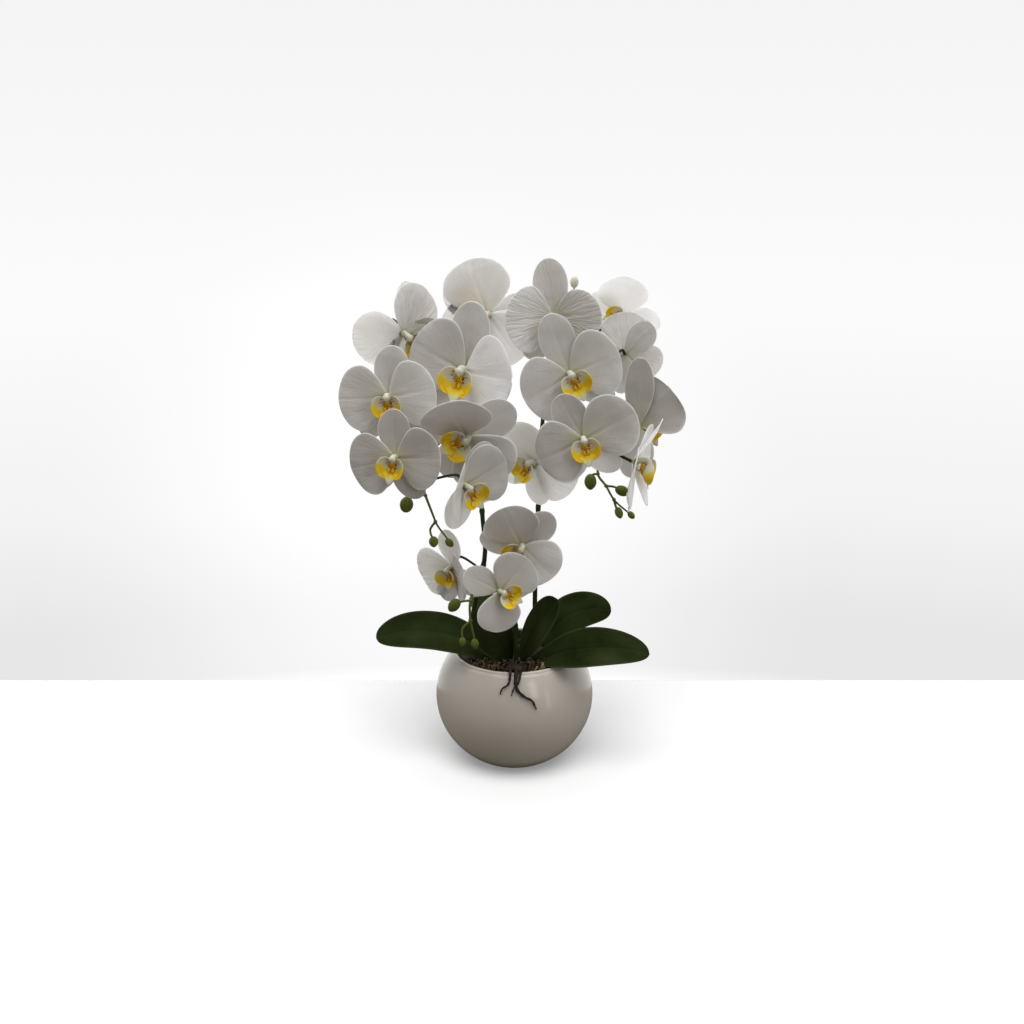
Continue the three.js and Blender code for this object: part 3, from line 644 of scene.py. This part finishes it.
def pot():
    """The glazed bowl: its foot, outer wall, round brim and inner wall."""
    foot = bowl_radius(0)
    profile = [(0, 1.2), (foot - 9, 1.2), (foot - 7.5, 0.2), (foot - 4, 0), (foot - 2.2, 0.25)]
    for height in np.linspace(0.8, POT_HEIGHT - 2.2, 60):
        profile.append((bowl_radius(height) if height > 3 else foot - 2 + height * 0.75, height))
    brim = bowl_radius(POT_HEIGHT)
    for angle in np.linspace(0, 180, 13):
        bow = math.radians(angle)
        profile.append((brim - 1.9 + 2.1 * math.cos(bow) - 0.2, POT_HEIGHT - 2.0 + 2.0 * math.sin(bow)))
    for height in np.linspace(POT_HEIGHT - 4, 14, 26):
        profile.append((bowl_radius(height) - WALL, height))
    profile.append((0, 12))
    return lathe("bowl", profile)


def bed():
    """The bed of bark that fills the bowl, slightly domed and rough on top."""
    rng = random.Random("bed")
    rings, around = 26, 96
    reach = bowl_radius(FILL_LEVEL) - WALL - 1.6
    verts, faces = [[0, 0, FILL_LEVEL + 2]], []
    for i in range(1, rings + 1):
        radius = reach * i / rings
        for j in range(around):
            angle = 2 * math.pi * j / around
            x, y = radius * math.cos(angle), radius * math.sin(angle)
            rough = 1.1 * math.sin(x * 0.61 + 1.2 * math.sin(y * 0.4)) * math.sin(y * 0.53 + x * 0.2)
            drop = 3.0 * (i / rings) ** 4
            verts.append([x, y, FILL_LEVEL + 1.8 - drop + rough + rng.uniform(-0.35, 0.35)])
    base = len(verts)
    for j in range(around):
        angle = 2 * math.pi * j / around
        verts.append([reach * 0.98 * math.cos(angle), reach * 0.98 * math.sin(angle), FILL_LEVEL - 14])
    verts.append([0, 0, FILL_LEVEL - 14])
    for j in range(around):
        after = (j + 1) % around
        faces.append([0, 1 + j, 1 + after])
        for i in range(rings):
            row = 1 + i * around
            faces.append([row + j, row + around + j, row + around + after, row + after])
        faces.append([base + j, len(verts) - 1, base + after])
    return make_mesh("bark_bed", verts, faces)


def chips():
    """Loose bark chips lying on the bed."""
    rng = random.Random("chips")
    heap = Heap()
    for _ in range(110):
        angle = rng.uniform(0, 2 * math.pi)
        radius = 56 * math.sqrt(rng.uniform(0.02, 0.72))
        long, wide, high = rng.uniform(3, 7), rng.uniform(1.8, 3.4), rng.uniform(0.9, 1.7)
        at = (radius * math.cos(angle), radius * math.sin(angle), FILL_LEVEL + rng.uniform(1.2, 4.2))
        turn = (rng.uniform(-35, 35), rng.uniform(-35, 35), rng.uniform(0, 360))
        verts, faces = ball((long, wide, high), (0, 0, 0), turn, around=9, down=6)
        jag = np.array([[rng.uniform(0.8, 1.15) for _ in range(3)] for _ in range(len(verts))])
        spot = np.tile([rng.random(), rng.random(), 0], (len(verts), 1))
        heap.add(verts * jag + np.array(at), faces, {"spot": spot})
    return heap.mesh("bark_chips")


def curls():
    """Tan moss and root curls showing along the brim."""
    rng = random.Random("curls")
    heap = Heap()
    limit = bowl_radius(POT_HEIGHT) - WALL - 1.5
    for k in range(150):
        front = k % 3 > 0
        angle = rng.uniform(-2.5, -0.8) if front else rng.uniform(0, 2 * math.pi)
        radius = rng.uniform(34, 55)
        height = FILL_LEVEL + rng.uniform(2, 4)
        at = np.array([radius * math.cos(angle), radius * math.sin(angle), height])
        spin, loop = rng.uniform(0, 6.28), rng.uniform(2.0, 4.6)
        bow, lift = rng.uniform(1.8, 5.2), rng.uniform(0.8, 9.5 if front else 3.5)
        points = []
        for step in np.linspace(0, 1, 18):
            a = spin + loop * step
            rise = lift * math.sin(math.pi * step) + step
            points.append(at + [bow * math.cos(a), bow * math.sin(a), rise])
        points = np.array(points)
        spread = np.hypot(points[:, 0], points[:, 1])
        points[:, :2] *= np.minimum(1, limit / spread)[:, None]
        heap.add(*tube(points, np.full(18, rng.uniform(0.5, 1.1)), 8))
    return heap.mesh("moss_curls")


def air_roots():
    """Dark roots: a knot on the brim and strands hanging down the bowl."""
    rng = random.Random("roots")
    brim = bowl_radius(POT_HEIGHT)

    def hug(across, height, clear):
        radius = bowl_radius(height) + clear
        return (across, -math.sqrt(radius * radius - across * across), height)

    def over(across, inward, rise):
        return (across, -brim + inward, POT_HEIGHT + rise)

    leads = [[(-4, 22, -1), (-4, 8, 3.2), (-4, 1, 3.4)], [(2, 22, -1), (2, 8, 3.2), (2, 1, 3.4)],
             [(6, 20, -1), (6, 8, 3.2), (6, 1, 3.4)]]
    strands = [
        (0, [hug(-5, 112, 3.4), hug(-7, 108, 3), hug(-12, 105, 2.8), hug(-14, 100, 2.6)], 2.0),
        (1, [hug(1, 111, 3.6), hug(3, 104, 3.2), hug(10, 98, 3), hug(17, 94, 2.8), hug(21, 86, 2.5)], 2.5),
        (2, [hug(4, 111, 3.4), hug(-1, 105, 3), hug(-3, 99, 2.7)], 1.8),
    ]
    heap = Heap()
    for lead, tail, radius in strands:
        path = smooth_path([over(*p) for p in leads[lead]] + tail, 70)
        bumps = np.array([1 + 0.22 * math.sin(k * 0.9 + lead) * rng.uniform(0.4, 1) for k in range(70)])
        heap.add(*tube(path, radius * np.linspace(1.15, 0.32, 70) * bumps, 12))
    for k in range(7):
        side = rng.uniform(-9, 11)
        path = [over(side * 1.8, 24, rng.uniform(-1, 2)), over(side, 15, rng.uniform(4, 9)),
                over(side * 0.5, 7, rng.uniform(5, 8)), over(side * 0.6, 2, 3.6)]
        heap.add(*tube(smooth_path(path, 40), rng.uniform(1.0, 1.7) * np.linspace(0.7, 1, 40), 9))
    for at, radii in ((over(1, 3, 4.2), (7, 3, 2.2)), (over(-3, 6, 3.6), (4, 3, 2)),
                      (over(5, 1, 3.2), (3.4, 2.4, 2))):
        heap.add(*ball(radii, at, around=18, down=12))
    return heap.mesh("roots")


# ---- Materials ----

BLACK = (0, 0, 0)
WHITE = (1, 1, 1)

# How far light spreads inside petals and lips, in metres.
DEEP = 0.003


class Nodes:
    """Small helper for building the nodes of a material or of the world."""

    def __init__(self, owner, shader="Principled BSDF"):
        owner.use_nodes = True
        self.owner = owner
        self.tree = owner.node_tree
        self.shader = self.tree.nodes[shader]

    def node(self, kind, **settings):
        made = self.tree.nodes.new(kind)
        for key, value in settings.items():
            setattr(made, key, value)
        return made

    def link(self, source, target):
        self.tree.links.new(source, target)

    def feed(self, made, values):
        for key, value in values.items():
            if isinstance(value, bpy.types.NodeSocket):
                self.link(value, made.inputs[key])
            else:
                made.inputs[key].default_value = value
        return made

    def attribute(self, key):
        return self.node("ShaderNodeAttribute", attribute_name=key).outputs["Vector"]

    def split(self, vector):
        made = self.feed(self.node("ShaderNodeSeparateXYZ"), {0: vector})
        return made.outputs[0], made.outputs[1], made.outputs[2]

    def place(self, scale=(1, 1, 1)):
        texture = self.node("ShaderNodeTexCoord").outputs["Object"]
        return self.feed(self.node("ShaderNodeMapping"), {0: texture, 3: scale}).outputs[0]

    def noise(self, vector, scale, detail=3.0, rough=0.5):
        made = self.node("ShaderNodeTexNoise")
        self.feed(made, {"Vector": vector, "Scale": scale, "Detail": detail, "Roughness": rough})
        return made.outputs["Fac"]

    def math(self, how, a, b=0.0):
        return self.feed(self.node("ShaderNodeMath", operation=how), {0: a, 1: b}).outputs[0]

    def times(self, a, b):
        return self.math("MULTIPLY", a, b)

    def plus(self, a, b):
        return self.math("ADD", a, b)

    def vector(self, how, a, b, result="Value"):
        made = self.node("ShaderNodeVectorMath", operation=how)
        return self.feed(made, {0: a, 1: b}).outputs[result]

    def drawn_out(self, across, along, scale):
        """Coordinates in which noise is drawn out into lines along the piece."""
        made = self.node("ShaderNodeCombineXYZ")
        return self.feed(made, {0: across, 1: self.times(along, scale)}).outputs[0]

    def span(self, value, before, after, how="LINEAR"):
        """Carry a value from one range over to another."""
        made = self.node("ShaderNodeMapRange", interpolation_type=how)
        ends = dict(zip((1, 2, 3, 4), (*before, *after)))
        return self.feed(made, {0: value, **ends}).outputs[0]

    def ramp(self, factor, stops):
        made = self.node("ShaderNodeValToRGB")
        elements = made.color_ramp.elements
        elements[0].position, elements[0].color = stops[0][0], (*stops[0][1], 1)
        elements[1].position, elements[1].color = stops[-1][0], (*stops[-1][1], 1)
        for position, colour in stops[1:-1]:
            elements.new(position).color = (*colour, 1)
        self.link(factor, made.inputs[0])
        return made.outputs[0]

    def blend(self, factor, a, b, how="MIX"):
        made = self.node("ShaderNodeMix", data_type="RGBA", blend_type=how)
        sockets = {"Factor_Float": factor, "A_Color": a, "B_Color": b}
        for socket in made.inputs:
            value = sockets.get(socket.identifier)
            if value is None:
                continue
            if isinstance(value, bpy.types.NodeSocket):
                self.link(value, socket)
            else:
                socket.default_value = value if not isinstance(value, tuple) else (*value, 1)
        return [socket for socket in made.outputs if socket.identifier == "Result_Color"][0]

    def bump(self, height, strength, distance):
        made = self.node("ShaderNodeBump")
        self.feed(made, {"Height": height, "Strength": strength, "Distance": distance})
        self.link(made.outputs[0], self.shader.inputs["Normal"])

    def set(self, **values):
        names = {"colour": "Base Color", "rough": "Roughness", "spec": "Specular IOR Level",
                 "sss": "Subsurface Weight", "sss_radius": "Subsurface Radius",
                 "sss_scale": "Subsurface Scale", "sheen": "Sheen Weight", "coat": "Coat Weight",
                 "coat_rough": "Coat Roughness"}
        for key, value in values.items():
            socket = self.shader.inputs[names[key]]
            if isinstance(value, bpy.types.NodeSocket):
                self.link(value, socket)
            else:
                socket.default_value = (*value, 1) if key == "colour" else value
        return self.owner


def petal_material():
    """White petals with a greenish heart, whiter or greyer per petal as painted light and shade, edges and
    tips painted paler as painted light, fine ribs along them and soft folds.
    """
    m = Nodes(bpy.data.materials.new("petal_white"))
    fan, reach, rim = m.split(m.attribute("spot"))
    rib, thin, _ = m.split(m.attribute("rib"))
    heart = m.ramp(reach, [(0.0, (0.40, 0.42, 0.18)), (0.14, (0.47, 0.46, 0.33)),
                           (0.40, (0.50, 0.475, 0.445)), (1.0, (0.51, 0.49, 0.47))])
    # Painted light and shade: thin petals get a whiter base colour, thick ones a greyer one.
    heart = m.blend(thin, heart, (0.90, 0.90, 0.91))
    tone = m.ramp(m.noise(m.place(), 38, 3), [(0.3, (0.93, 0.92, 0.91)), (0.7, (1.0, 1.0, 1.0))])
    colour = m.blend(1.0, heart, tone, "MULTIPLY")
    # Painted light: edges and tips painted paler, standing for the glow of backlit rims.
    colour = m.blend(m.ramp(rim, [(0.93, BLACK), (1.0, (0.6, 0.6, 0.6))]), colour, (0.93, 0.93, 0.92))
    warp = m.times(m.noise(m.place(), 30, 2), 0.2)
    vector = m.drawn_out(m.plus(fan, warp), reach, 0.16)
    broad = m.noise(vector, 15, 2, 0.5)
    ridge = m.math("ABSOLUTE", m.math("SUBTRACT", m.noise(vector, 11, 1.5, 0.5), 0.5))
    crisp = m.times(m.math("MINIMUM", ridge, 0.12), 5.0)
    lines = m.times(m.plus(broad, crisp), m.times(rib, 0.8))
    grain = m.times(m.noise(m.place(), 700, 2), 0.12)
    folds = m.times(m.noise(m.place(), 48, 1.5, 0.4), 1.6)
    m.bump(m.plus(m.plus(lines, folds), grain), 0.9, 0.0013)
    through = m.plus(m.times(thin, 0.8), 0.12)
    return m.set(colour=colour, rough=0.45, spec=0.3, sheen=0.08,
                 sss=through, sss_radius=(1.0, 0.95, 0.88), sss_scale=DEEP)


def lip_material():
    """Ivory lobes with yellow lower margins, orange streaks and red-brown strokes in the throat."""
    m = Nodes(bpy.data.materials.new("lip_yellow"))
    low, _, _ = m.split(m.attribute("spot"))
    angle, reach, _ = m.split(m.attribute("throat"))
    soft = m.plus(low, m.times(m.math("SUBTRACT", m.noise(m.place(), 150, 3), 0.5), 0.35))
    body = m.ramp(soft, [(0.16, (0.70, 0.68, 0.56)), (0.36, (0.78, 0.70, 0.26)),
                         (0.56, (0.86, 0.64, 0.025)), (1.0, (0.80, 0.50, 0.006))])
    vector = m.drawn_out(angle, reach, 0.45)
    streak = m.noise(vector, 5.0, 2, 0.5)
    ahead = m.ramp(m.math("ABSOLUTE", angle), [(0.25, WHITE), (0.85, BLACK)])
    near = m.ramp(reach, [(0.25, WHITE), (1.15, BLACK)])
    tongue = m.times(m.times(ahead, near),
                    m.ramp(streak, [(0.42, BLACK), (0.54, WHITE)]))
    body = m.blend(tongue, body, (0.66, 0.17, 0.02))
    fine = m.noise(vector, 8.5, 2, 0.5)
    zone = m.ramp(reach, [(0.10, BLACK), (0.24, WHITE), (0.62, WHITE), (0.86, BLACK)])
    strokes = m.times(m.ramp(fine, [(0.52, BLACK), (0.57, WHITE)]), zone)
    colour = m.blend(strokes, body, (0.13, 0.012, 0.012))
    m.bump(m.noise(m.place(), 500, 2), 0.3, 0.0006)
    return m.set(colour=colour, rough=0.45, spec=0.35,
                 sss=0.25, sss_radius=(1.0, 0.9, 0.6), sss_scale=DEEP)


def column_material():
    """Ivory, for the columns and the half-open bud."""
    m = Nodes(bpy.data.materials.new("column_ivory"))
    cloud = m.noise(m.place(), 120, 2)
    colour = m.ramp(cloud, [(0.35, (0.62, 0.61, 0.46)), (0.65, (0.76, 0.74, 0.63))])
    m.bump(m.noise(m.place(), 600, 2), 0.2, 0.0005)
    return m.set(colour=colour, rough=0.4, spec=0.45,
                 sss=0.3, sss_radius=(1.0, 0.95, 0.7), sss_scale=DEEP)


def leaf_material():
    """Dark satin green with its edges painted paler as a painted highlight, patchy partly as painted sheen
    and shade, a midrib and faint veins along the leaf.
    """
    m = Nodes(bpy.data.materials.new("leaf_green"))
    across, along, _ = m.split(m.attribute("spot"))
    side = m.math("ABSOLUTE", across)
    # Random patches of lighter and darker green: partly real tone, partly painted satin sheen and painted
    # shade.
    cloud = m.noise(m.place(), 22, 4)
    body = m.ramp(cloud, [(0.3, (0.008, 0.012, 0.003)), (0.7, (0.028, 0.039, 0.013))])
    # Painted highlight: the leaf's edges painted paler, as rims lit from above.
    rim = m.ramp(side, [(0.90, BLACK), (0.99, WHITE)])
    body = m.blend(m.times(rim, 0.5), body, (0.055, 0.075, 0.03))
    mid = m.ramp(side, [(0.0, WHITE), (0.05, BLACK)])
    colour = m.blend(m.times(mid, 0.25), body, (0.03, 0.045, 0.018))
    vein = m.noise(m.drawn_out(across, along, 0.12), 26, 3)
    m.bump(m.plus(vein, m.times(m.noise(m.place(), 700, 2), 0.15)), 0.2, 0.0006)
    return m.set(colour=colour, rough=0.5, spec=0.0)


def stem_material(name, dark, light, rough=0.45):
    """Green with streaks along the stem, for stems, twigs and buds."""
    m = Nodes(bpy.data.materials.new(name))
    colour = m.ramp(m.noise(m.place((1, 1, 0.4)), 60, 4), [(0.35, dark), (0.68, light)])
    m.bump(m.noise(m.place((1, 1, 0.15)), 420, 3), 0.35, 0.0006)
    return m.set(colour=colour, rough=rough, spec=0.15)


def glaze_material():
    """Warm grey glaze, slightly clouded, under a thin clear coat."""
    m = Nodes(bpy.data.materials.new("pot_glaze"))
    cloud = m.noise(m.place(), 9, 3)
    colour = m.ramp(cloud, [(0.35, (0.49, 0.45, 0.395)), (0.65, (0.53, 0.49, 0.43))])
    m.bump(m.plus(m.noise(m.place(), 22, 2), m.times(m.noise(m.place(), 240, 2), 0.12)),
           0.12, 0.004)
    return m.set(colour=colour, rough=0.3, spec=0.4, coat=0.45, coat_rough=0.12)


def bark_material(name, tones):
    """Rough and patchy, for bark, moss and roots."""
    m = Nodes(bpy.data.materials.new(name))
    base = m.ramp(m.noise(m.place(), 130, 5, 0.65), tones)
    m.bump(m.noise(m.place((1, 1, 2.5)), 480, 5, 0.7), 0.9, 0.0016)
    return m.set(colour=base, rough=0.82, spec=0.25)


def floor_material():
    """White with light shadows to look at, but throwing only part of its light back on the plant."""
    m = Nodes(bpy.data.materials.new("floor_white"))
    tone = m.ramp(m.noise(m.place(), 0.6, 2), [(0.2, (0.20, 0.20, 0.20)), (0.8, (0.204, 0.204, 0.204))])
    seen = m.node("ShaderNodeLightPath").outputs["Is Camera Ray"]
    m.link(m.times(seen, 0.24), m.shader.inputs["Emission Strength"])
    m.shader.inputs["Emission Color"].default_value = (1, 1, 1, 1)
    return m.set(colour=m.blend(seen, (0.06, 0.055, 0.048), tone), rough=0.9, spec=0.0)


# ---- Putting it together ----


def keep(piece, material, slot_name, *nodes):
    """Finish a piece: its material, its body and the CAD nodes it stands for. slot_name is not used."""
    piece.data.materials.append(material)
    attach(piece, "root")
    if nodes:
        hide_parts(*nodes)
    return piece


def build_plant():
    """Flowers, leaves, stems and buds, each for its own CAD nodes."""
    petal = petal_material()
    yellow = lip_material()
    ivory = column_material()
    for name, flower in FLOWERS.items():
        keep(perianth(name, flower), petal, "petal", f"flower_{name}_petals")
        keep(lip(name, flower), yellow, "lip", f"flower_{name}_lip")
        keep(column(name, flower), ivory, "lip")
    green = leaf_material()
    for name, form in LEAVES.items():
        keep(leaf(name, **form), green, "leaf", name)
    dark = stem_material("stem_green", (0.012, 0.022, 0.005), (0.030, 0.045, 0.012))
    keep(spike("spike_left_stem", SPIKE_LEFT, ["a01", "a02", "a03", "a04", "a05", "a06", "a07", "a09"]),
         dark, "stem", "spike_left")
    keep(spike("spike_right_stem", SPIKE_RIGHT, ["a08", "b01", "b02", "b03", "b04", "b05", "b06", "b07"]),
         dark, "stem", "spike_right")
    keep(spike("stem_short_stem", STEM_SHORT, ["a11", "a10"]), dark, "stem", "stem_short")
    fresh = stem_material("bud_green", (0.085, 0.110, 0.016), (0.150, 0.180, 0.028), 0.42)
    for name, (main, shoots, buds) in SPRAYS.items():
        keep(spray(name + "_twig", main, shoots, buds), fresh, "bud", name)
    keep(top_bud(), ivory, "petal", "bud_top")


def build_pot():
    """The pot and what fills it."""
    keep(pot(), glaze_material(), "pot_glaze", "pot")
    brown = bark_material("bark_brown", [(0.3, (0.010, 0.007, 0.004)), (0.55, (0.045, 0.028, 0.016)),
                                         (0.8, (0.11, 0.075, 0.045))])
    tan = bark_material("moss_tan", [(0.35, (0.02, 0.013, 0.006)), (0.52, (0.13, 0.09, 0.04)),
                                     (0.7, (0.34, 0.26, 0.14))])
    keep(bed(), brown, "bark", "potting_bark")
    keep(chips(), brown, "bark")
    keep(curls(), tan, "bark")
    dark = bark_material("root_dark", [(0.3, (0.012, 0.008, 0.007)), (0.7, (0.045, 0.028, 0.022))])
    keep(air_roots(), dark, "root", "air_roots")


def build_stage():
    """A bright floor in front of a paler wall, which is the far background."""
    near, back, half = -8.0, 0.192, 8.0
    corners = [(-half, near, 0), (half, near, 0), (half, back, 0), (-half, back, 0)]
    piece = make_mesh("floor", np.array(corners) / MM, [[0, 1, 2, 3]], smooth=False)
    piece.data.materials.append(floor_material())
    return piece


def add_light(name, kind, energy, ahead):
    """A light that shines along ahead."""
    lamp = bpy.data.lights.new(name, kind)
    lamp.energy = energy
    made = bpy.data.objects.new(name, lamp)
    bpy.context.scene.collection.objects.link(made)
    made.rotation_euler = Vector(ahead).to_track_quat("-Z", "Y").to_euler()
    return made


def area_light(name, at, aim, size, power, colour):
    """A rectangular light of size (across, high) that faces aim."""
    made = add_light(name, "AREA", power, Vector(aim) - Vector(at))
    made.location = at
    made.data.shape = "RECTANGLE"
    made.data.size, made.data.size_y = size
    made.data.color = colour


def sun_light(name, energy, spread, ahead):
    """Soft sunlight from a disc spread degrees wide."""
    made = add_light(name, "SUN", energy, ahead)
    made.data.angle = math.radians(spread)
    return made


def floor_light(floor):
    """Soft light from above the front for the floor alone; its shadows fall beside and behind the pot."""
    made = sun_light("floor_top", 9.6, 44, (0.0, 0.62, -1))
    alone = bpy.data.collections.new("floor_alone")
    alone.objects.link(floor)
    made.light_linking.receiver_collection = alone


def wall_colour(m, where):
    """The wall behind the plant: painted light and shade, paler and greyer by height, and a soft painted glow
    low in the middle.
    """
    shades = [(0.3015, 1.0), (0.3065, 0.80), (0.330, 0.80), (0.366, 0.89), (0.440, 0.965),
              (0.545, 0.91), (0.700, 0.88)]
    height = m.span(m.split(where)[2], (-1.0, 1.0), (0.0, 1.0))
    shade = m.ramp(height, [(spot, (grey, grey, grey)) for spot, grey in shades])
    away = m.vector("DISTANCE", where, (-0.06, 0.95, -0.31))
    glow = m.span(away, (0.04, 0.30), (0.16, 0.0), "SMOOTHSTEP")
    return m.vector("ADD", shade, glow, "Vector")


def build_light():
    """Soft light from above and behind; a dim room in front; a pale wall to look at."""
    world = bpy.data.worlds.new("studio")
    bpy.context.scene.world = world
    m = Nodes(world, "Background")
    where = m.node("ShaderNodeTexCoord").outputs["Generated"]
    bright = m.span(m.vector("DOT_PRODUCT", where, (0.0, 0.75, 0.66)), (-0.4, 1.0), (0.08, 1.7))
    m.feed(m.shader, {0: m.blend(bright, (1.0, 0.93, 0.84), WHITE), 1: bright})
    wall = m.feed(m.node("ShaderNodeBackground"), {0: wall_colour(m, where)})
    seen = m.node("ShaderNodeLightPath").outputs["Is Camera Ray"]
    both = m.feed(m.node("ShaderNodeMixShader"), {0: seen, 1: m.shader.outputs[0], 2: wall.outputs[0]})
    m.link(both.outputs[0], m.tree.nodes["World Output"].inputs[0])
    sun_light("overhead", 1.5, 55, (0.02, 0.16, -1))
    area_light("window", (0.75, -1.3, 0.9), (0, 0, 0.1), (0.30, 0.8), 3.0, (0.95, 0.97, 1.0))
    area_light("low_window", (0.87, -0.77, 0.26), (0, 0, 0.08), (0.12, 0.5), 0.5, (0.97, 0.98, 1.0))


def build_camera():
    """Eye a little above the flowers, looking down on the pot, as the view shows it."""
    distance, tilt, aim = 1.3, math.radians(16), Vector((-0.0025, 0, 0.262))
    camera = bpy.data.cameras.new("view")
    camera.sensor_width = 36
    camera.lens = 46.3
    made = bpy.data.objects.new("view", camera)
    bpy.context.scene.collection.objects.link(made)
    made.location = aim + Vector((0, -math.cos(tilt), math.sin(tilt))) * distance
    made.rotation_euler = (math.pi / 2 - tilt, 0, 0)
    bpy.context.scene.camera = made
    bpy.context.scene.view_settings.view_transform = "Standard"


build_camera()
floor_light(build_stage())
build_light()
build_pot()
build_plant()
